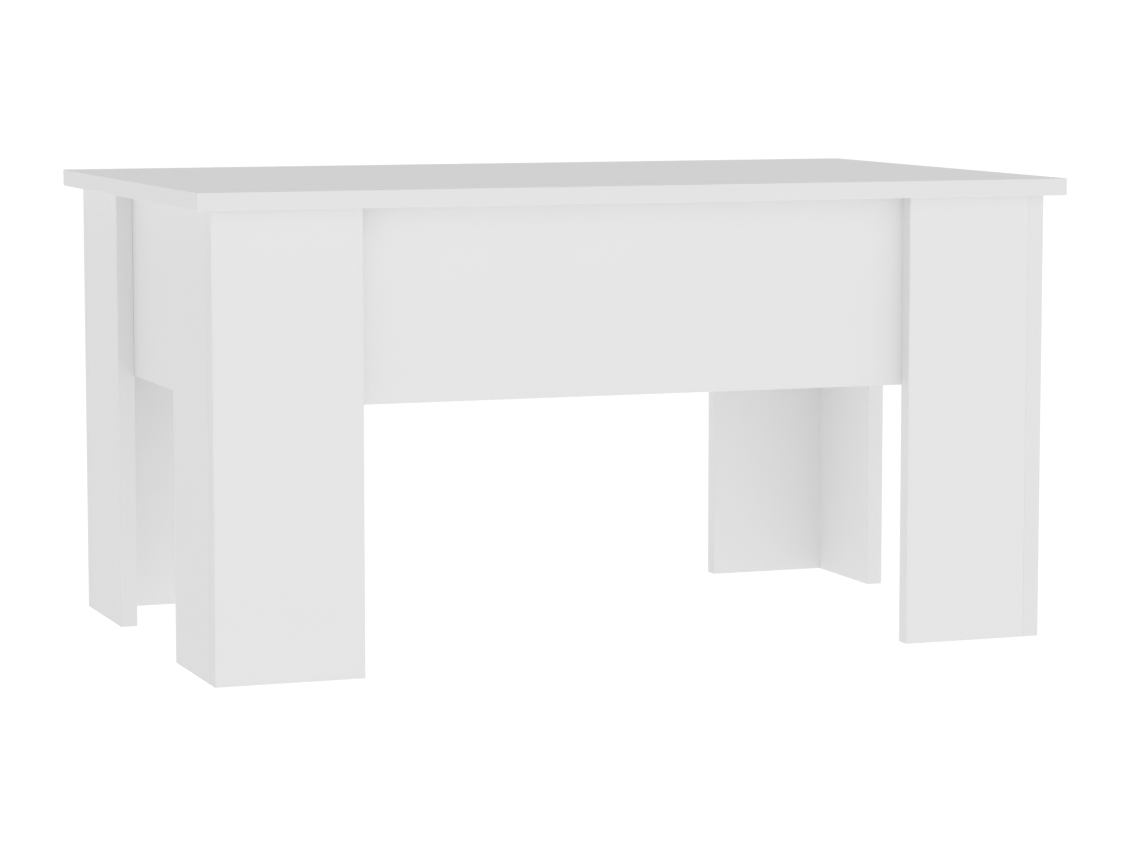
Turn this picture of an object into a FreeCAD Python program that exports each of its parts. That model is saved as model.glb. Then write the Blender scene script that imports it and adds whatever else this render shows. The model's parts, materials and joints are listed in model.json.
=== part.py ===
import FreeCAD, Part
import math
import os

# Lift top coffee table in white melamine-faced board, delivered flat and put together with cam fittings,
# dowels and screws. The top swings up and towards the sitter on a pair of spring-assisted linkages.
# Frame: the origin is on the floor under the table's centre, +X runs along the length, -Y is the front,
# +Z is up. All sizes are in millimetres, and all angles in degrees.

V = FreeCAD.Vector

# ---- boards -------------------------------------------------------------------------------------
length = 790.0              # tabletop, along X
depth = 490.0               # tabletop, along Y
height = 410.0              # floor to the tabletop's upper face
board = 15.0                # thickness of every board
top_overhang = 15.0         # tabletop past the legs, on all four sides
leg_width = 130.0           # each outer face of an L-shaped leg
apron_height = 166.0
band = 0.8                  # thickness of the glued edge banding
band_arris = 0.5            # rounding of the banding's trimmed edges

leg_x = length / 2 - top_overhang          # outer faces of the legs
leg_y = depth / 2 - top_overhang
apron_x = leg_x - board                    # outer faces of the aprons, and inner faces of the leg boards
apron_y = leg_y - board
inner_x = apron_x - board                  # walls of the storage compartment
inner_y = apron_y - board
top_z = height - board                     # underside of the tabletop, top of legs and aprons
apron_z = top_z - apron_height             # underside of the aprons and of the bottom panel
floor_z = apron_z + board                  # floor of the storage compartment

# ---- lift linkage, one at each end of the table ----------------------------------------------------
# Points are (y, z) pairs. Angles are measured from straight forward (-Y), turning upwards.
arm_length = 190.0          # between an arm's two pivots
arm_rest_angle = 177.0      # the arms lie back, almost level, when the table is closed
lift_travel = 120.0         # they swing up and over by this much
arm_half_width = 10.0
pivot_spacing = 52.0        # between the two pivots at either end of the linkage
pivot_spacing_angle = 27.0
main_base_pivot = (-70.0, 345.5)
spring_anchor_reach = 112.0 # from the main arm's base pivot back to the spring's anchor
spring_anchor_angle = 187.0
hook_reach = 18.0           # from the same pivot to the spring's hook, on the arm's short tail
hook_rest_angle = 7.0
hook_half_width = 7.0
stop_along = 12.0           # the stop stands this far up the raised follower arm
stop_gap = 0.3
sheet_edge = 0.4            # rounding of the edges of all sheet steel

plate_foot = 300.0          # lower edge of the base plate's front part
plate_crown = 385.0         # its upper edge
plate_crown_end = -78.0     # how far back the upper edge runs before it slopes down
plate_shoulder = -40.0      # how far back the front part runs
plate_foot_slope = 18.0     # the lower edge rises to the tail over this length
plate_crown_drop = 9.0      # height that is left between the upper slope's end and the tail
plate_tail_half = 14.0      # half of the tail's height
plate_front_margin = 8.5    # past the stop
plate_rear_margin = 11.0    # past the spring's anchor
plate_corner = 5.0

ear_margin = 11.0           # of the top bracket's ear, before and behind its pivots
ear_front_shoulder = 17.0   # where it is as wide as this, at the flange
ear_rear_shoulder = 16.0
ear_below_main = 11.5
ear_below_follower = 9.0
ear_corner = 7.0
bend_inside = 1.0
bend_outside = 1.5
flange_corner = 6.0

# Layers across the linkage, counted inwards from the side apron's inner face.
plate_layer = (0.0, 2.0)
base_washer_layer = (2.0, 2.8)
arm_layer = (2.9, 5.4)
base_head_layer = (5.5, 7.3)
top_head_layer = (1.3, 2.8)
top_washer_layer = (5.5, 6.3)
ear_layer = (6.3, 8.3)
top_tail_layer = (8.3, 9.8)
spring_depth = 14.5         # the spring's axis
pin_tip = 17.6              # the spring pins end in a wider button that keeps the loop on
button_end = 19.0
flange_width = 25.0         # of the top bracket, along X
flange_thickness = 2.0
flange_y = (12.0, 178.0)

rivet_radius = 4.0
rivet_head_radius = 7.0
rivet_tail_radius = 6.0
washer_radius = 8.0
running_clearance = 0.08    # between an arm's hole and its rivet, on the radius
seat_clearance = 0.02       # between pieces that are fixed in each other, on the radius
pin_radius = 2.0
button_radius = 3.6
pin_edge = 0.5              # rounding of pin buttons
rivet_edge = 0.9            # rounding of rivet heads and tails
stop_pin_radius = 2.5
sleeve_radius = 4.5

coil_radius = 6.0           # outside of the spring's coils
wire_radius = 0.9
loop_radius = 3.6           # of the end loops, to the middle of the wire
coil_end_gap = 11.0         # from a loop's centre to the first coil

# ---- fasteners ----------------------------------------------------------------------------------
hole_clearance = 0.05
hole_spare = 0.5            # a blind hole goes this much deeper than what is in it
cam_radius = 7.5
cam_depth = 12.0
cam_seat_spare = 0.2
cam_reach = 34.0            # from the joint between two boards to the cam's centre
cam_slot = (6.0, 1.4, 2.0)  # span, width and depth of the cross in its face
cam_bolt_collar = 3.0
cam_bolt_head = 4.0         # length, half of it each side of the cam's centre
cam_bolt_head_radius = 3.6
cam_bolt_neck_radius = 2.2
cam_bolt_sleeve = (10.0, 24.0)
cam_bolt_sleeve_radius = 3.0
cam_bolt_thread = 11.0
cam_bolt_thread_radius = 2.5
cam_channel_radius = 4.0
cam_channel_end = 4.0       # past the cam's centre
dowel_radius = 4.0
dowel_shallow = 10.0        # depth in the board whose face is drilled
dowel_deep = 20.0           # depth in the board whose end is drilled
dowel_chamfer = 1.0
screw_radius = 2.0
screw_head_radius = 3.8
screw_head_height = 2.2
screw_tip = 3.0
screw_tip_radius = 0.3
screw_slot = (4.2, 0.9, 1.4)
leg_screw_length = 25.0
plate_screw_length = 14.0
bracket_screw_length = 12.0

apron_cam_heights = (262.0, 362.0)
apron_dowel_height = 312.0
panel_cam_x = (-230.0, 0.0, 230.0)
panel_dowel_x = (-115.0, 115.0)
leg_dowel_heights = (40.0, 150.0, 260.0, 360.0)
leg_face_screws = ((330.0, 275.0), (275.0, 275.0), (302.5, 360.0))    # distance from the middle in X, height
leg_side_screws = ((187.0, 275.0), (120.0, 275.0), (150.0, 350.0))    # distance from the middle in Y, height
plate_screws = ((-130.0, 311.0), (-58.0, 311.0), (-88.0, 377.0), (4.0, 332.0))
bracket_screws_y = (24.0, 50.0, 140.0, 166.0)
bracket_screw_inset = 22.0

exact = 1e-3                # two levels closer than this are the same

nodes = {}                  # node name: its solids
holes = {}                  # node name: what is drilled out of it


def add(node, *solids):
    nodes.setdefault(node, []).extend(solids)


def drill(node, *tools):
    holes.setdefault(node, []).extend(tools)


# ---- simple shapes --------------------------------------------------------------------------------
def block(xs, ys, zs):
    """A box between two values along each axis, given in either order."""
    low = V(min(xs), min(ys), min(zs))
    size = V(max(xs), max(ys), max(zs)) - low
    return Part.makeBox(size.x, size.y, size.z, low)


def rod(start, direction, reach, radius):
    return Part.makeCylinder(radius, reach, start, direction)


def rounded(solid, radius, chosen):
    """The solid with the edges rounded for which chosen(edge) is true."""
    return solid.makeFillet(radius, [edge for edge in solid.Edges if chosen(edge)])


def same(first, second):
    return abs(first - second) < exact


def along_x(edge):
    """A straight edge that runs along X."""
    return same(edge.BoundBox.YLength, 0.0) and same(edge.BoundBox.ZLength, 0.0)


def across_x(edge):
    """An edge that is all at one distance from the table's middle."""
    return same(edge.BoundBox.XLength, 0.0)


def from_middle(edge):
    """How far from the table's middle an edge's centre is, along X."""
    return abs(edge.BoundBox.Center.x)


def band_strip(xs, ys, zs, outward):
    """A strip of edge banding. The long edges of its outer face are trimmed round."""
    strip = block(xs, ys, zs)
    face_level = max(corner.Point.dot(outward) for corner in strip.Vertexes)

    def trimmed(edge):
        on_face = all(same(corner.Point.dot(outward), face_level) for corner in edge.Vertexes)
        return on_face and edge.Length > board + exact

    return rounded(strip, band_arris, trimmed)


# ---- fasteners ----------------------------------------------------------------------------------
def countersunk_screw(head, direction, reach):
    """A wood screw whose flat head has its face at head. Returns the screw and the hole that it leaves."""
    shank_end = head + direction * (reach - screw_tip)
    neck = head + direction * screw_head_height
    screw = Part.makeCone(screw_head_radius, screw_radius, screw_head_height, head, direction)
    screw = screw.fuse([
        rod(neck, direction, reach - screw_tip - screw_head_height, screw_radius),
        Part.makeCone(screw_radius, screw_tip_radius, screw_tip, shank_end, direction),
    ])
    screw = screw.cut(cross_recess(head, direction, screw_slot)).removeSplitter()
    hole_radius = screw_radius + hole_clearance
    sink_radius = screw_head_radius + hole_clearance
    hole = Part.makeCone(sink_radius, hole_radius, screw_head_height, head, direction)
    hole = hole.fuse(rod(neck, direction, reach - screw_head_height + hole_spare, hole_radius))
    return screw, hole


def cross_recess(face, direction, size):
    """Two crossed slots for a screwdriver, cut into a face. The size is their span, width and depth."""
    span, width, sink = size
    slots = []
    for across, along in ((span, width), (width, span)):
        slot = Part.makeBox(across, along, sink, V(-across / 2, -along / 2, 0))
        slot.Placement = FreeCAD.Placement(face, FreeCAD.Rotation(V(0, 0, 1), direction))
        slots.append(slot)
    return slots[0].fuse(slots[1])


def cam_joint(kind, joint, to_cam, to_face, cam_board, bolt_board):
    """A cam lock: a bolt in the face of one board, drawn in by a cam that is let into the other board.
    joint is where the bolt crosses between the boards, to_cam points along the bolt to the cam, and
    to_face from the bolt to the face that the cam is let into."""
    cam_face = joint + to_cam * cam_reach + to_face * (board / 2)
    channel = rod(joint, to_cam, cam_reach + cam_channel_end, cam_channel_radius)
    cam = rod(cam_face, -to_face, cam_depth, cam_radius - hole_clearance)
    cam = cam.cut([channel, cross_recess(cam_face, -to_face, cam_slot)])
    head_start = cam_reach - cam_bolt_head / 2
    stretches = (
        (-cam_bolt_thread, 0.0, cam_bolt_thread_radius),
        (0.0, cam_bolt_collar, cam_bolt_head_radius),
        (cam_bolt_collar, head_start, cam_bolt_neck_radius),
        (*cam_bolt_sleeve, cam_bolt_sleeve_radius),
        (head_start, head_start + cam_bolt_head, cam_bolt_head_radius),
    )
    rods = [rod(joint + to_cam * start, to_cam, end - start, radius) for start, end, radius in stretches]
    add(kind + "_cam_housings", cam)
    add(kind + "_cam_bolts", rods[0].fuse(rods[1:]).removeSplitter())
    drill(cam_board, channel, rod(cam_face, -to_face, cam_depth + cam_seat_spare, cam_radius))
    thread_hole_radius = cam_bolt_thread_radius + hole_clearance
    drill(bolt_board, rod(joint, -to_cam, cam_bolt_thread + hole_spare, thread_hole_radius))


def dowel(node, joint, to_deep, deep_board, shallow_board):
    """A wooden dowel across a joint between one board's end and another board's face."""
    start = joint - to_deep * dowel_shallow
    pin = rod(start, to_deep, dowel_shallow + dowel_deep, dowel_radius - hole_clearance)
    pin = pin.makeChamfer(dowel_chamfer, [edge for edge in pin.Edges if len(edge.Vertexes) == 1])
    add(node, pin)
    drill(deep_board, rod(joint, to_deep, dowel_deep + hole_spare, dowel_radius))
    drill(shallow_board, rod(joint, -to_deep, dowel_shallow + hole_spare, dowel_radius))


# ---- boards -------------------------------------------------------------------------------------
def tabletop():
    """The board that lifts, with banding on all four sides."""
    x = length / 2
    y = depth / 2
    zs = (top_z, height)
    add("tabletop", block((band - x, x - band), (band - y, y - band), zs))
    for side in (-1, 1):
        long_strip = band_strip((-x, x), (side * y, side * (y - band)), zs, V(0, side, 0))
        short_strip = band_strip((side * x, side * (x - band)), (band - y, y - band), zs, V(side, 0, 0))
        add("tabletop_edge_bands", long_strip, short_strip)


def apron(node, xs, ys):
    """A board on edge, with banding along its top and bottom."""
    add(node, block(xs, ys, (apron_z + band, top_z - band)))
    lower = band_strip(xs, ys, (apron_z, apron_z + band), V(0, 0, -1))
    upper = band_strip(xs, ys, (top_z - band, top_z), V(0, 0, 1))
    add("apron_edge_bands", lower, upper)


def storage_box():
    """Four aprons and the bottom panel, held together by cam locks and dowels."""
    apron("front_apron", (-apron_x, apron_x), (-apron_y, -inner_y))
    apron("rear_apron", (-apron_x, apron_x), (apron_y, inner_y))
    apron("left_apron", (-apron_x, -inner_x), (-inner_y, inner_y))
    apron("right_apron", (apron_x, inner_x), (-inner_y, inner_y))
    add("bottom_panel", block((-inner_x, inner_x), (-inner_y, inner_y), (apron_z, floor_z)))

    side_middle = inner_x + board / 2
    panel_middle = apron_z + board / 2
    for sy, long_apron in ((-1, "front_apron"), (1, "rear_apron")):
        inwards = V(0, -sy, 0)
        for sx, side_apron in ((-1, "left_apron"), (1, "right_apron")):
            for z in apron_cam_heights:
                joint = V(sx * side_middle, sy * inner_y, z)
                cam_joint("apron", joint, inwards, V(-sx, 0, 0), side_apron, long_apron)
            joint = V(sx * side_middle, sy * inner_y, apron_dowel_height)
            dowel("apron_dowels", joint, inwards, side_apron, long_apron)
        for x in panel_cam_x:
            joint = V(x, sy * inner_y, panel_middle)
            cam_joint("bottom_panel", joint, inwards, V(0, 0, -1), "bottom_panel", long_apron)
        for x in panel_dowel_x:
            joint = V(x, sy * inner_y, panel_middle)
            dowel("bottom_panel_dowels", joint, inwards, "bottom_panel", long_apron)


def leg(end, sx, sy):
    """Two boards that meet at the corner, glued and dowelled. On the left legs the front or rear board
    runs to the corner and covers the side board's end; on the right legs the side board does. The upright
    edges and the tops are banded, and the feet are bare."""
    corner = ("front" if sy < 0 else "rear") + "_" + end + "_leg_"
    face_board = corner + ("front" if sy < 0 else "rear") + "_board"
    side_board = corner + "side_board"
    zs = (0.0, top_z - band)
    top_zs = (top_z - band, top_z)
    face_y = (sy * leg_y, sy * apron_y)
    side_x = (sx * leg_x, sx * apron_x)
    face_free = leg_x - leg_width           # the free upright edges of the two boards
    side_free = leg_y - leg_width
    face_runs_on = sx < 0

    face_end = leg_x if face_runs_on else apron_x
    side_end = apron_y if face_runs_on else leg_y
    face_core_end = leg_x - band if face_runs_on else apron_x
    side_core_end = apron_y if face_runs_on else leg_y - band
    add(face_board, block((sx * face_core_end, sx * (face_free + band)), face_y, zs))
    add(side_board, block(side_x, (sy * side_core_end, sy * (side_free + band)), zs))

    strips = [
        band_strip((sx * face_free, sx * (face_free + band)), face_y, zs, V(-sx, 0, 0)),
        band_strip(side_x, (sy * side_free, sy * (side_free + band)), zs, V(0, -sy, 0)),
        band_strip((sx * face_end, sx * face_free), face_y, top_zs, V(0, 0, 1)),
        band_strip(side_x, (sy * side_end, sy * side_free), top_zs, V(0, 0, 1)),
    ]
    if face_runs_on:
        strips.append(band_strip((sx * face_end, sx * face_core_end), face_y, zs, V(sx, 0, 0)))
        for z in leg_dowel_heights:
            joint = V(sx * (apron_x + board / 2), sy * apron_y, z)
            dowel("leg_corner_dowels", joint, V(0, -sy, 0), side_board, face_board)
    else:
        strips.append(band_strip(side_x, (sy * side_end, sy * side_core_end), zs, V(0, sy, 0)))
        for z in leg_dowel_heights:
            joint = V(sx * apron_x, sy * (apron_y + board / 2), z)
            dowel("leg_corner_dowels", joint, V(-sx, 0, 0), face_board, side_board)
    add(corner + "edge_bands", *strips)

    long_apron = "front_apron" if sy < 0 else "rear_apron"
    for x, z in leg_face_screws:
        screw, hole = countersunk_screw(V(sx * x, sy * inner_y, z), V(0, sy, 0), leg_screw_length)
        add("leg_screws", screw)
        drill(long_apron, hole)
        drill(face_board, hole)
    for y, z in leg_side_screws:
        screw, hole = countersunk_screw(V(sx * inner_x, sy * y, z), V(sx, 0, 0), leg_screw_length)
        add("leg_screws", screw)
        drill(end + "_apron", hole)
        drill(side_board, hole)


# ---- lift linkage ---------------------------------------------------------------------------------
def polar(start, angle, reach):
    """The (y, z) point at an angle from straight forward, turning upwards."""
    turn = math.radians(angle)
    return (start[0] - reach * math.cos(turn), start[1] + reach * math.sin(turn))


follower_base_pivot = polar(main_base_pivot, pivot_spacing_angle, pivot_spacing)
main_top_pivot = polar(main_base_pivot, arm_rest_angle, arm_length)
follower_top_pivot = polar(follower_base_pivot, arm_rest_angle, arm_length)
spring_anchor = polar(main_base_pivot, spring_anchor_angle, spring_anchor_reach)
spring_hook = polar(main_base_pivot, hook_rest_angle, hook_reach)
raised_angle = arm_rest_angle - lift_travel
stop_foot = polar(follower_base_pivot, raised_angle, stop_along)
stop_point = polar(stop_foot, raised_angle - 90.0, arm_half_width + sleeve_radius + stop_gap)


def across(side, layer, point, radius):
    """A disc or a pin along X, between two depths from the side apron's inner face."""
    start = V(side * (inner_x - layer[0]), point[0], point[1])
    return rod(start, V(-side, 0, 0), layer[1] - layer[0], radius)


def sheet(side, layer, outline):
    """A flat plate with a given (y, z) outline, between two depths."""
    x = side * (inner_x - layer[0])
    corners = [V(x, y, z) for y, z in outline]
    face = Part.Face(Part.makePolygon(corners + corners[:1]))
    return face.extrude(V(-side * (layer[1] - layer[0]), 0, 0))


def bar(side, layer, start, end, start_radius, end_radius):
    """A flat bar with round ends, tangent to both of them."""
    reach = math.hypot(end[0] - start[0], end[1] - start[1])
    angle = math.degrees(math.atan2(end[1] - start[1], start[0] - end[0]))
    lean = math.degrees(math.acos((start_radius - end_radius) / reach))
    outline = [
        polar(start, angle + lean, start_radius),
        polar(end, angle + lean, end_radius),
        polar(end, angle - lean, end_radius),
        polar(start, angle - lean, start_radius),
    ]
    ends = [across(side, layer, start, start_radius), across(side, layer, end, end_radius)]
    return sheet(side, layer, outline).fuse(ends).removeSplitter()


def eased(plate):
    """The flat plate with the edges round both of its faces rounded, as on tumbled sheet steel."""
    return rounded(plate, sheet_edge, across_x)


def capped(side, layer, point, radius, edge_radius):
    """A disc whose inward face, the one that shows, has a rounded edge."""
    shown_x = inner_x - layer[1]
    disc = across(side, layer, point, radius)
    return rounded(disc, edge_radius, lambda edge: across_x(edge) and same(from_middle(edge), shown_x))


def base_plate(side, end):
    """The steel plate on the side apron that carries the base pivots, the stop and the spring's anchor."""
    front = stop_point[0] - plate_front_margin
    rear = spring_anchor[0] + plate_rear_margin
    tail_foot = spring_anchor[1] - plate_tail_half
    tail_top = spring_anchor[1] + plate_tail_half
    outline = [
        (front, plate_foot),
        (plate_shoulder, plate_foot),
        (plate_shoulder + plate_foot_slope, tail_foot),
        (rear, tail_foot),
        (rear, tail_top),
        (plate_shoulder, tail_top + plate_crown_drop),
        (plate_crown_end, plate_crown),
        (front, plate_crown),
    ]
    plate = eased(rounded(sheet(side, plate_layer, outline), plate_corner, along_x))
    bores = [across(side, plate_layer, point, rivet_radius + seat_clearance)
             for point in (main_base_pivot, follower_base_pivot)]
    bores.append(across(side, plate_layer, spring_anchor, pin_radius + seat_clearance))
    bores.append(across(side, plate_layer, stop_point, stop_pin_radius + seat_clearance))
    plate = plate.cut(bores)
    node = end + "_base_plate"
    add(node, plate)
    for y, z in plate_screws:
        head = V(side * (inner_x - plate_layer[1]), y, z)
        screw, hole = countersunk_screw(head, V(side, 0, 0), plate_screw_length)
        add("base_plate_screws", screw)
        drill(node, hole)
        drill(end + "_apron", hole)


def base_pivots(side):
    """Rivets, fixed in the base plate, that the arms turn on, each with a nylon washer under the arm."""
    for point in (main_base_pivot, follower_base_pivot):
        shank = across(side, (plate_layer[0], base_head_layer[1]), point, rivet_radius)
        head = capped(side, base_head_layer, point, rivet_head_radius, rivet_edge)
        add("base_pivot_rivets", shank.fuse(head).removeSplitter())
        washer = across(side, base_washer_layer, point, washer_radius)
        bore = across(side, base_washer_layer, point, rivet_radius + running_clearance)
        add("base_pivot_washers", washer.cut(bore))


def stop(side):
    """A sleeved pin in front of the follower arm, which the raised arm comes to rest on."""
    reach = (plate_layer[0], base_head_layer[1])
    sleeve_layer = (plate_layer[1], base_head_layer[0])
    pin = across(side, reach, stop_point, stop_pin_radius)
    button = capped(side, (sleeve_layer[1], reach[1]), stop_point, sleeve_radius, pin_edge)
    add("stop_pins", pin.fuse(button).removeSplitter())
    sleeve = across(side, sleeve_layer, stop_point, sleeve_radius)
    add("stop_sleeves", sleeve.cut(across(side, sleeve_layer, stop_point, stop_pin_radius + seat_clearance)))


def arms(side, end):
    """The main arm, with a short tail for the spring, and the follower arm above it."""
    pivot_bore = rivet_radius + running_clearance
    main = bar(side, arm_layer, main_base_pivot, main_top_pivot, arm_half_width, arm_half_width)
    tail = bar(side, arm_layer, main_base_pivot, spring_hook, arm_half_width, hook_half_width)
    main = eased(main.fuse(tail).removeSplitter())
    main = main.cut([
        across(side, arm_layer, main_base_pivot, pivot_bore),
        across(side, arm_layer, main_top_pivot, pivot_bore),
        across(side, arm_layer, spring_hook, pin_radius + seat_clearance),
    ])
    follower = bar(side, arm_layer, follower_base_pivot, follower_top_pivot, arm_half_width, arm_half_width)
    follower = eased(follower)
    follower = follower.cut([
        across(side, arm_layer, follower_base_pivot, pivot_bore),
        across(side, arm_layer, follower_top_pivot, pivot_bore),
    ])
    add(end + "_main_arm", main)
    add(end + "_follower_arm", follower)


def spring_pin(side, first_depth, point):
    """A pin that stands out inwards, with a button at its end that keeps the spring's loop on."""
    pin = across(side, (first_depth, pin_tip), point, pin_radius)
    button = capped(side, (pin_tip, button_end), point, button_radius, pin_edge)
    return pin.fuse(button).removeSplitter()


def spring(side, end):
    """The tension spring from the base plate's anchor to the main arm's tail, drawn out as it is when the
    table is closed: a coiled barrel with a wire loop at each end."""
    reach = spring_anchor_reach + hook_reach
    anchor = V(side * (inner_x - spring_depth), spring_anchor[0], spring_anchor[1])
    hook = V(side * (inner_x - spring_depth), spring_hook[0], spring_hook[1])
    to_hook = (hook - anchor).normalize()
    barrel_start = anchor + to_hook * coil_end_gap
    barrel_reach = reach - 2 * coil_end_gap
    barrel = rod(barrel_start, to_hook, barrel_reach, coil_radius)
    hollow_start = barrel_start + to_hook * (2 * wire_radius)
    hollow = rod(hollow_start, to_hook, barrel_reach - 4 * wire_radius, coil_radius - 2 * wire_radius)
    loops = [Part.makeTorus(loop_radius, wire_radius, centre, V(1, 0, 0)) for centre in (anchor, hook)]
    stem_reach = coil_end_gap - loop_radius + wire_radius
    stems = [
        rod(anchor + to_hook * loop_radius, to_hook, stem_reach, wire_radius),
        rod(hook - to_hook * loop_radius, -to_hook, stem_reach, wire_radius),
    ]
    add(end + "_spring", barrel.cut(hollow).fuse(loops + stems).removeSplitter())


def top_bracket(side, end):
    """The steel angle under the tabletop. Its ear hangs down inside the arms and carries the top pivots."""
    ear_top = top_z - flange_thickness
    main_y, main_z = main_top_pivot
    follower_y, follower_z = follower_top_pivot
    outline = [
        (follower_y - ear_front_shoulder, ear_top),
        (follower_y - ear_margin, follower_z - ear_below_follower),
        (main_y - ear_margin, main_z - ear_below_main),
        (main_y + ear_margin, main_z - ear_below_main),
        (main_y + ear_rear_shoulder, ear_top),
    ]
    bend_x = inner_x - ear_layer[0]
    bend_inner_x = inner_x - ear_layer[1]
    free_x = bend_x - flange_width

    def below_flange(edge):
        return edge.BoundBox.Center.z < ear_top - exact

    def flange_end(edge):
        return same(edge.BoundBox.ZLength, flange_thickness) and same(from_middle(edge), free_x)

    def bend_outer(edge):
        return same(edge.BoundBox.ZMin, top_z) and across_x(edge) and same(from_middle(edge), bend_x)

    def bend_inner(edge):
        level = same(edge.BoundBox.ZMin, ear_top) and same(edge.BoundBox.ZMax, ear_top)
        return level and across_x(edge) and same(from_middle(edge), bend_inner_x)

    ear = sheet(side, ear_layer, outline)
    ear = rounded(ear, ear_corner, lambda edge: along_x(edge) and below_flange(edge))
    ear = rounded(ear, sheet_edge, lambda edge: across_x(edge) and below_flange(edge))
    flange = block((side * bend_x, side * free_x), flange_y, (ear_top, top_z))
    flange = rounded(flange, flange_corner, flange_end)
    flange = rounded(flange, bend_outside, bend_outer)
    bracket = rounded(ear.fuse(flange).removeSplitter(), bend_inside, bend_inner)
    bracket = bracket.cut([across(side, ear_layer, point, rivet_radius + seat_clearance)
                           for point in (main_top_pivot, follower_top_pivot)])
    node = end + "_top_bracket"
    add(node, bracket)
    for y in bracket_screws_y:
        head = V(side * (inner_x - bracket_screw_inset), y, ear_top)
        screw, hole = countersunk_screw(head, V(0, 0, 1), bracket_screw_length)
        add("top_bracket_screws", screw)
        drill(node, hole)
        drill("tabletop", hole)


def top_pivots(side):
    """Rivets, fixed in the top bracket, that the arms' upper ends turn on, each with a nylon washer."""
    for point in (main_top_pivot, follower_top_pivot):
        head = across(side, top_head_layer, point, rivet_head_radius)
        shank = across(side, (top_head_layer[0], top_tail_layer[1]), point, rivet_radius)
        tail = capped(side, top_tail_layer, point, rivet_tail_radius, rivet_edge)
        add("top_pivot_rivets", shank.fuse([head, tail]).removeSplitter())
        washer = across(side, top_washer_layer, point, washer_radius)
        bore = across(side, top_washer_layer, point, rivet_radius + seat_clearance)
        add("top_pivot_washers", washer.cut(bore))


def lift_linkage(end, side):
    """Everything between the storage box's end wall and the tabletop at one end of the table."""
    base_plate(side, end)
    base_pivots(side)
    stop(side)
    arms(side, end)
    add("spring_anchor_pins", spring_pin(side, plate_layer[0], spring_anchor))
    add(end + "_spring_hook_pin", spring_pin(side, arm_layer[0], spring_hook))
    spring(side, end)
    top_bracket(side, end)
    top_pivots(side)


# ---- the table ----------------------------------------------------------------------------------
tabletop()
storage_box()
for table_end, table_side in (("left", -1), ("right", 1)):
    leg(table_end, table_side, -1)
    leg(table_end, table_side, 1)
    lift_linkage(table_end, table_side)

os.makedirs("parts", exist_ok=True)
for node_name, solids in nodes.items():
    if node_name in holes:
        solids = [solid.cut(holes[node_name]) for solid in solids]
    shape = solids[0] if len(solids) == 1 else Part.makeCompound(solids)
    shape.exportStep("parts/" + node_name + ".step")
    print(node_name, len(shape.Solids), "solid(s),", "valid" if shape.isValid() else "NOT VALID",
          round(shape.Volume / 1000.0, 2), "cm3")
print(len(nodes), "nodes")
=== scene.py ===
import json
import math

import bmesh
import bpy
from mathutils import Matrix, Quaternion, Vector


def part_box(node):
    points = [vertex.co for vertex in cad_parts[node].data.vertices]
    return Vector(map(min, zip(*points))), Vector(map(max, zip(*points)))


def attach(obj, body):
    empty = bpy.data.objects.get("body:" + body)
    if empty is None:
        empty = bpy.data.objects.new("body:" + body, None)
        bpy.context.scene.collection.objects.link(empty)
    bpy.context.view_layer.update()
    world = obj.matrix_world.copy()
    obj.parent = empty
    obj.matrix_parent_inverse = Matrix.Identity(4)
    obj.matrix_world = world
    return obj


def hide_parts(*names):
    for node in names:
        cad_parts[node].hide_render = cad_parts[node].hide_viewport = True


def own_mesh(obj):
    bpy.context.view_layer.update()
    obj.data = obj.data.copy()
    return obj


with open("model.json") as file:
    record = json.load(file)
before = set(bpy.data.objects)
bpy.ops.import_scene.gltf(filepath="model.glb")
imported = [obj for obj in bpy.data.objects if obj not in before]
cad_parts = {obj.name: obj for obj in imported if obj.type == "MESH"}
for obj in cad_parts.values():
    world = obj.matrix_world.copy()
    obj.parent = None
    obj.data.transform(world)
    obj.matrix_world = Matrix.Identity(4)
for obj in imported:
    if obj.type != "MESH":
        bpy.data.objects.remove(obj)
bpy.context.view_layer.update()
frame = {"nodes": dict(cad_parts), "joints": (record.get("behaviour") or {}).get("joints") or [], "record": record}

# Looks for the lift top coffee table: materials for every CAD node, wound springs in place of the plain
# CAD ones, a studio with a pale floor, and the camera. Lengths are in metres.

# ---- camera -------------------------------------------------------------------------------------
CAMERA_PLACE = (-1.1660, -3.2004, 0.55405)
CAMERA_YAW = 0.3530         # radians, from +Y towards +X
CAMERA_PITCH = -0.1088      # radians, downwards
CAMERA_LENS = 119.42        # millimetres, on a sensor this wide
SENSOR_WIDTH = 36.0
NEAREST_SEEN = 0.05
FURTHEST_SEEN = 500.0

# ---- studio -------------------------------------------------------------------------------------
FLOOR_GLOW = 1.00
FLOOR_HALF_SIZE = 60.0
WALL_GLOW = 1.05            # the room seen level with the floor
WALL_TOP = 0.15             # sine of the elevation where the walls have given way to the sky
SKY_GLOW = 1.20
SKY_LEFT = -0.40            # what is added towards the left
SKY_UP = -0.60              # what is added towards straight above
SOFTBOX_PLACE = (-0.10, -1.05, 1.20)
SOFTBOX_AIM = (0.0, 0.0, 0.25)
SOFTBOX_SIZE = 0.8
SOFTBOX_WATTS = 0.3

# ---- board colours ------------------------------------------------------------------------------
BOARD_WHITE = (0.82, 0.82, 0.82)
BAND_WHITE = (0.80, 0.80, 0.80)
FOOT_LEVEL = 0.00005        # the legs' bare ends are below this

# ---- textures -----------------------------------------------------------------------------------
NOISE_SPAN = (0.3, 0.7)     # where nearly all of a noise texture's values lie

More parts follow.
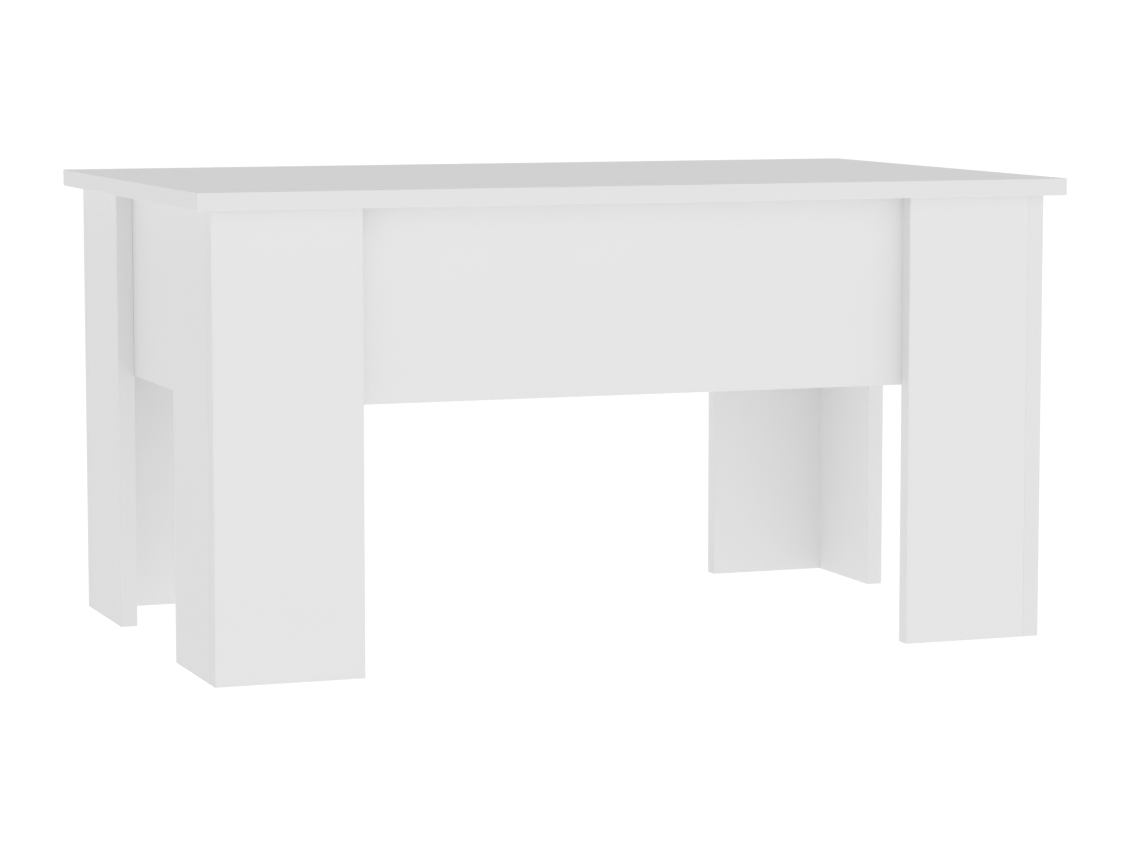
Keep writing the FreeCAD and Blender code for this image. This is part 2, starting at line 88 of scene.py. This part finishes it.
# ---- springs ------------------------------------------------------------------------------------
SPRING_WIRE = 0.0009        # radius
WIRE_SIDES = 10
SPRING_COIL = 0.0051        # radius, to the middle of the wire
SPRING_TURNS = 46
COIL_START = 0.011          # from a loop's centre to the first coil
COIL_STEPS = 18             # points in one turn
COIL_LEAD_IN = 0.75         # turns in which the wire widens from the loop to the full coil
COIL_LEAD_RADIUS = 0.25     # of the full coil's radius, where the loop's wire runs into it
LOOP_RADIUS = 0.0036
LOOP_STEPS = 26
LOOP_OPENING = math.radians(28)


# ---- helpers for node materials -------------------------------------------------------------------
class Shader:
    """A material under construction: short calls that add a node and link it."""

    def __init__(self, name):
        self.material = bpy.data.materials.new(name)
        self.material.use_nodes = True
        self.nodes = self.material.node_tree.nodes
        self.links = self.material.node_tree.links
        self.surface = self.nodes["Principled BSDF"]
        self.place = self.nodes.new("ShaderNodeTexCoord")

    def add(self, kind, inputs=(), **settings):
        node = self.nodes.new(kind)
        for key, value in settings.items():
            setattr(node, key, value)
        for socket, value in dict(inputs).items():
            self.put(node.inputs[socket], value)
        return node

    def put(self, socket, value):
        if isinstance(value, bpy.types.NodeSocket):
            self.links.new(value, socket)
        else:
            socket.default_value = value

    def scaled(self, x=1.0, y=1.0, z=1.0):
        mapping = self.add("ShaderNodeMapping", {"Vector": self.place.outputs["Object"], "Scale": (x, y, z)})
        return mapping.outputs["Vector"]

    def noise(self, scale, detail=2.0, roughness=0.5, vector=None, distortion=0.0):
        """Soft noise from 0 to 1, mostly between 0.3 and 0.7. The scale is in features per metre."""
        node = self.add("ShaderNodeTexNoise", {
            "Vector": vector or self.place.outputs["Object"],
            "Scale": scale, "Detail": detail, "Roughness": roughness, "Distortion": distortion,
        })
        return node.outputs["Fac"]

    def cells(self, scale):
        """A random tone from 0 to 1 for each cell. The scale is in cells per metre."""
        node = self.add("ShaderNodeTexVoronoi", {"Vector": self.place.outputs["Object"], "Scale": scale})
        return self.add("ShaderNodeSeparateColor", {"Color": node.outputs["Color"]}).outputs["Red"]

    def math(self, operation, first, second):
        return self.add("ShaderNodeMath", {0: first, 1: second}, operation=operation).outputs[0]

    def spread(self, value, low, high, span=NOISE_SPAN):
        """Noise within the span, stretched over the range from low to high."""
        node = self.add("ShaderNodeMapRange", {
            "Value": value, "From Min": span[0], "From Max": span[1], "To Min": low, "To Max": high,
        })
        return node.outputs["Result"]

    def ramp(self, value, stops):
        node = self.add("ShaderNodeValToRGB", {"Fac": value})
        elements = node.color_ramp.elements
        while len(elements) < len(stops):
            elements.new(1.0)
        for element, (position, colour) in zip(elements, stops):
            element.position = position
            element.color = (*colour, 1.0)
        return node.outputs["Color"]

    def mix(self, share, first, second):
        node = self.add("ShaderNodeMix", data_type="RGBA")
        self.put(node.inputs["Factor"], share)
        self.put(node.inputs["A"], (*first, 1.0) if isinstance(first, tuple) else first)
        self.put(node.inputs["B"], (*second, 1.0) if isinstance(second, tuple) else second)
        return node.outputs["Result"]

    def bump(self, height, strength, distance):
        node = self.add("ShaderNodeBump", {"Height": height, "Strength": strength, "Distance": distance})
        return node.outputs["Normal"]

    def finish(self, **inputs):
        """Sets the surface's own sockets, named in words: base_color sets Base Color."""
        for key, value in inputs.items():
            socket = self.surface.inputs[key.replace("_", " ").title().replace("Ior", "IOR")]
            self.put(socket, (*value, 1.0) if isinstance(value, tuple) and len(value) == 3 else value)
        return self.material


def toned(shader, colour, variation, scale):
    """A colour that drifts a little lighter and darker over the surface."""
    share = shader.noise(scale, detail=3.0)
    darker = tuple(c * (1.0 - variation) for c in colour)
    lighter = tuple(min(1.0, c * (1.0 + variation)) for c in colour)
    return shader.ramp(share, list(zip(NOISE_SPAN, (darker, lighter))))


# ---- materials ------------------------------------------------------------------------------------
def melamine(name, bare_foot=False):
    """Matt white melamine paper pressed on chipboard. With a bare foot, the cut end that stands on the
    floor shows the chipboard."""
    s = Shader(name)
    colour = toned(s, BOARD_WHITE, variation=0.004, scale=9.0)
    peel = s.noise(900.0)
    grain = s.noise(3200.0, detail=1.0)
    texture = s.math("ADD", s.math("MULTIPLY", peel, 0.7), s.math("MULTIPLY", grain, 0.3))
    roughness = s.spread(peel, 0.56, 0.64)
    if bare_foot:
        level = s.add("ShaderNodeSeparateXYZ", {"Vector": s.place.outputs["Object"]}).outputs["Z"]
        bare = s.math("LESS_THAN", level, FOOT_LEVEL)
        colour = s.mix(bare, colour, chipboard_colour(s))
        roughness = s.math("MAXIMUM", roughness, s.math("MULTIPLY", bare, 0.9))
    return s.finish(base_color=colour, roughness=roughness, specular_ior_level=0.3,
                    normal=s.bump(texture, strength=0.12, distance=0.0002))


def chipboard_colour(s):
    """Pressed flakes from dark to pale, with finer dust between them."""
    tones = [(0.0, (0.30, 0.20, 0.11)), (0.45, (0.50, 0.36, 0.21)), (1.0, (0.66, 0.51, 0.33))]
    flakes = s.ramp(s.cells(420.0), tones)
    dust = s.noise(1600.0, detail=4.0)
    return s.mix(s.spread(dust, 0.0, 0.45, span=(0.35, 0.65)), flakes, (0.58, 0.44, 0.28))


def edge_banding():
    """White plastic banding, a touch darker and smoother than the board's face."""
    s = Shader("edge_banding_white")
    fine = s.noise(2400.0)
    return s.finish(base_color=toned(s, BAND_WHITE, variation=0.004, scale=14.0),
                    roughness=s.spread(fine, 0.48, 0.56), specular_ior_level=0.35,
                    normal=s.bump(fine, strength=0.08, distance=0.0001))


def black_powder_coat():
    """Satin black, with the fine peel that baked powder has."""
    s = Shader("black_powder_coat")
    peel = s.noise(1800.0)
    return s.finish(base_color=toned(s, (0.030, 0.031, 0.034), variation=0.25, scale=60.0),
                    roughness=s.spread(peel, 0.34, 0.48), specular_ior_level=0.5,
                    normal=s.bump(peel, strength=0.35, distance=0.0002))


def plated_steel(name, colour, tint, roughness):
    """Zinc plate or bare wire: bright metal with faint clouds of tint and fine scratches."""
    s = Shader(name)
    clouds = s.noise(160.0, detail=3.0)
    scratches = s.noise(1500.0, vector=s.scaled(1.0, 6.0, 1.0))
    return s.finish(base_color=s.mix(s.spread(clouds, 0.0, 1.0, span=(0.35, 0.65)), colour, tint), metallic=1.0,
                    roughness=s.spread(scratches, roughness - 0.05, roughness + 0.07),
                    normal=s.bump(scratches, strength=0.15, distance=0.0001))


def nylon():
    s = Shader("natural_nylon")
    fine = s.noise(2200.0)
    return s.finish(base_color=toned(s, (0.74, 0.72, 0.64), variation=0.03, scale=90.0),
                    roughness=s.spread(fine, 0.38, 0.48), subsurface_weight=0.08,
                    normal=s.bump(fine, strength=0.1, distance=0.0001))


def black_rubber():
    s = Shader("black_rubber")
    fine = s.noise(2600.0, detail=3.0)
    return s.finish(base_color=toned(s, (0.018, 0.018, 0.019), variation=0.3, scale=200.0),
                    roughness=s.spread(fine, 0.72, 0.86),
                    normal=s.bump(fine, strength=0.3, distance=0.0002))


def beech():
    """Fine brown grain that runs level, as the dowels all lie."""
    s = Shader("beech_dowel")
    grain = s.noise(6.0, detail=4.0, distortion=0.6, vector=s.scaled(40.0, 40.0, 220.0))
    colour = s.ramp(grain, [(0.3, (0.44, 0.28, 0.15)), (0.55, (0.62, 0.43, 0.26)), (0.8, (0.70, 0.52, 0.34))])
    return s.finish(base_color=colour, roughness=s.spread(grain, 0.55, 0.7),
                    normal=s.bump(grain, strength=0.25, distance=0.0002))


def slot_materials():
    """The material for each of the record's slots."""
    return {
        "white_melamine": melamine("white_melamine"),
        "edge_banding": edge_banding(),
        "black_powder_coat": black_powder_coat(),
        "zinc_plated_steel": plated_steel("zinc_plated_steel", (0.62, 0.63, 0.65), (0.54, 0.57, 0.62), 0.30),
        "die_cast_zinc": plated_steel("die_cast_zinc", (0.50, 0.51, 0.52), (0.42, 0.43, 0.45), 0.46),
        "spring_steel": plated_steel("spring_steel", (0.56, 0.56, 0.57), (0.46, 0.46, 0.48), 0.28),
        "nylon": nylon(),
        "rubber": black_rubber(),
        "beech": beech(),
    }


def dress_cad_nodes(materials):
    """Every CAD node gets its slot's material; the leg boards get the one with a bare foot."""
    leg_board = melamine("white_melamine_bare_foot", bare_foot=True)
    slots = {part["node"]: part["material_slot"] for part in frame["record"]["subparts"]}
    for name, node in frame["nodes"].items():
        material = materials[slots[name]]
        if "_leg_" in name and name.endswith("_board"):
            material = leg_board
        node.data.materials.clear()
        node.data.materials.append(material)


# ---- springs --------------------------------------------------------------------------------------
def tube_along(points, radius):
    """A round wire through the points, closed at both ends, as a bmesh."""
    mesh = bmesh.new()
    rings = []
    tangent = (points[1] - points[0]).normalized()
    normal = tangent.orthogonal().normalized()
    for i, point in enumerate(points):
        before = points[max(i - 1, 0)]
        after = points[min(i + 1, len(points) - 1)]
        tangent = (after - before).normalized()
        normal = (normal - tangent * normal.dot(tangent)).normalized()
        across = tangent.cross(normal)
        ring = []
        for k in range(WIRE_SIDES):
            turn = 2 * math.pi * k / WIRE_SIDES
            ring.append(mesh.verts.new(point + (normal * math.cos(turn) + across * math.sin(turn)) * radius))
        rings.append(ring)
    for first, second in zip(rings, rings[1:]):
        for k in range(WIRE_SIDES):
            following = (k + 1) % WIRE_SIDES
            mesh.faces.new((first[k], first[following], second[following], second[k]))
    mesh.faces.new(list(reversed(rings[0])))
    mesh.faces.new(rings[-1])
    bmesh.ops.recalc_face_normals(mesh, faces=mesh.faces)
    return mesh


def joint_of(body):
    """The joint that carries a body."""
    return next(joint for joint in frame["joints"] if joint["child"] == body)


def spring_ends(node):
    """The middles of a CAD spring's two end loops, at the spring's axis: anchor first."""
    anchor = Vector(joint_of(node)["pos_m"])
    low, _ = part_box(node)
    pin_low, pin_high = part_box(node + "_hook_pin")
    hook = Vector((anchor.x, low.y + LOOP_RADIUS + SPRING_WIRE, (pin_low.z + pin_high.z) / 2))
    return anchor, hook


def raised_share(end, anchor, hook):
    """How long the spring is with the top raised, as a share of its length with the table closed."""
    arm = joint_of(end + "_main_arm")
    pivot = Vector(arm["pos_m"])
    pivot.x = hook.x
    swing = Quaternion(Vector(arm["axis"]), math.radians(max(arm["range_deg"])))
    raised_hook = pivot + swing @ (hook - pivot)
    return (raised_hook - anchor).length / (hook - anchor).length


def spring_path(anchor, hook):
    """One wire: a loop round the anchor pin, the coils, and a loop round the hook pin."""
    axis = (hook - anchor).normalized()
    side = Vector((1.0, 0.0, 0.0))
    up = side.cross(axis).normalized()

    def loop(centre, start):
        for i in range(LOOP_STEPS + 1):
            turn = start + (2 * math.pi - LOOP_OPENING) * i / LOOP_STEPS
            yield centre + (axis * math.cos(turn) + up * math.sin(turn)) * LOOP_RADIUS

    def coils():
        reach = (hook - anchor).length - 2 * COIL_START
        steps = SPRING_TURNS * COIL_STEPS
        for i in range(steps + 1):
            share = i / steps
            turn = 2 * math.pi * SPRING_TURNS * share
            turns_from_end = SPRING_TURNS * min(share, 1.0 - share)
            widening = math.sin(math.pi / 2 * min(1.0, turns_from_end / COIL_LEAD_IN))
            radius = SPRING_COIL * (COIL_LEAD_RADIUS + (1.0 - COIL_LEAD_RADIUS) * widening)
            middle = anchor + axis * (COIL_START + reach * share)
            yield middle + (up * math.sin(turn) + side * math.cos(turn)) * radius

    return [*loop(anchor, LOOP_OPENING), *coils(), *loop(hook, math.pi)]


def wound_spring(end, material):
    """A wound tension spring in place of the plain CAD one. It swings with the spring's body as the top is
    lifted but keeps its closed length, which the real one doesn't; its length with the top raised is worked
    out and not used."""
    node = end + "_spring"
    anchor, hook = spring_ends(node)
    mesh = bpy.data.meshes.new(end + "_wound_spring")
    shape = tube_along(spring_path(anchor, hook), SPRING_WIRE)
    shape.to_mesh(mesh)
    shape.free()
    for polygon in mesh.polygons:
        polygon.use_smooth = True
    mesh.materials.append(material)
    piece = bpy.data.objects.new(end + "_wound_spring", mesh)
    bpy.context.scene.collection.objects.link(piece)
    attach(piece, node)
    raised_share(end, anchor, hook)
    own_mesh(piece)
    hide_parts(node)


# ---- studio -------------------------------------------------------------------------------------
def floor():
    mesh = bpy.data.meshes.new("floor")
    half = FLOOR_HALF_SIZE
    corners = [(-half, -half, 0), (half, -half, 0), (half, half, 0), (-half, half, 0)]
    mesh.from_pydata(corners, [], [(0, 1, 2, 3)])
    plane = bpy.data.objects.new("floor", mesh)
    bpy.context.scene.collection.objects.link(plane)
    s = Shader("pale_floor")
    s.finish(base_color=(0.05, 0.05, 0.05), roughness=0.9, specular_ior_level=0.0,
             emission_color=(1.0, 1.0, 1.0), emission_strength=FLOOR_GLOW)
    mesh.materials.append(s.material)


def sky():
    """A white room: bright walls all round, and above them a softer sky that can lean to one side."""
    world = bpy.data.worlds.new("white_room")
    bpy.context.scene.world = world
    world.use_nodes = True
    nodes = world.node_tree.nodes
    links = world.node_tree.links

    def step(operation, first, second, third=None):
        node = nodes.new("ShaderNodeMath")
        node.operation = operation
        for socket, value in zip(node.inputs, (first, second, third)):
            if isinstance(value, bpy.types.NodeSocket):
                links.new(value, socket)
            elif value is not None:
                socket.default_value = value
        return node.outputs[0]

    direction = nodes.new("ShaderNodeTexCoord")
    split = nodes.new("ShaderNodeSeparateXYZ")
    links.new(direction.outputs["Generated"], split.inputs["Vector"])
    glow = step("MULTIPLY_ADD", split.outputs["Z"], SKY_UP, SKY_GLOW)
    leftward = step("MINIMUM", split.outputs["X"], 0.0)
    glow = step("MULTIPLY_ADD", leftward, -SKY_LEFT, glow)
    height = nodes.new("ShaderNodeMapRange")
    height.interpolation_type = "SMOOTHSTEP"
    links.new(split.outputs["Z"], height.inputs["Value"])
    height.inputs["From Max"].default_value = WALL_TOP
    lean = step("SUBTRACT", glow, WALL_GLOW)
    total = step("MULTIPLY_ADD", lean, height.outputs["Result"], WALL_GLOW)
    links.new(total, nodes["Background"].inputs["Strength"])
    nodes["Background"].inputs["Color"].default_value = (1.0, 1.0, 1.0, 1.0)


def softbox():
    """One weak soft light in front of the table."""
    light = bpy.data.lights.new("softbox", "AREA")
    light.shape = "DISK"
    light.size = SOFTBOX_SIZE
    light.energy = SOFTBOX_WATTS
    lamp = bpy.data.objects.new("softbox", light)
    lamp.location = SOFTBOX_PLACE
    aim = Vector(SOFTBOX_AIM) - Vector(SOFTBOX_PLACE)
    lamp.rotation_euler = aim.to_track_quat("-Z", "Y").to_euler()
    lamp.visible_camera = False
    bpy.context.scene.collection.objects.link(lamp)


def camera():
    data = bpy.data.cameras.new("camera")
    data.lens = CAMERA_LENS
    data.sensor_width = SENSOR_WIDTH
    data.clip_start = NEAREST_SEEN
    data.clip_end = FURTHEST_SEEN
    eye = bpy.data.objects.new("camera", data)
    eye.location = CAMERA_PLACE
    eye.rotation_euler = (math.pi / 2 + CAMERA_PITCH, 0.0, -CAMERA_YAW)
    bpy.context.scene.collection.objects.link(eye)
    bpy.context.scene.camera = eye


# ---- the scene ------------------------------------------------------------------------------------
camera()
floor()
sky()
softbox()
bpy.context.scene.view_settings.view_transform = "Standard"
slot_finish = slot_materials()
dress_cad_nodes(slot_finish)
for table_end in ("left", "right"):
    wound_spring(table_end, slot_finish["spring_steel"])
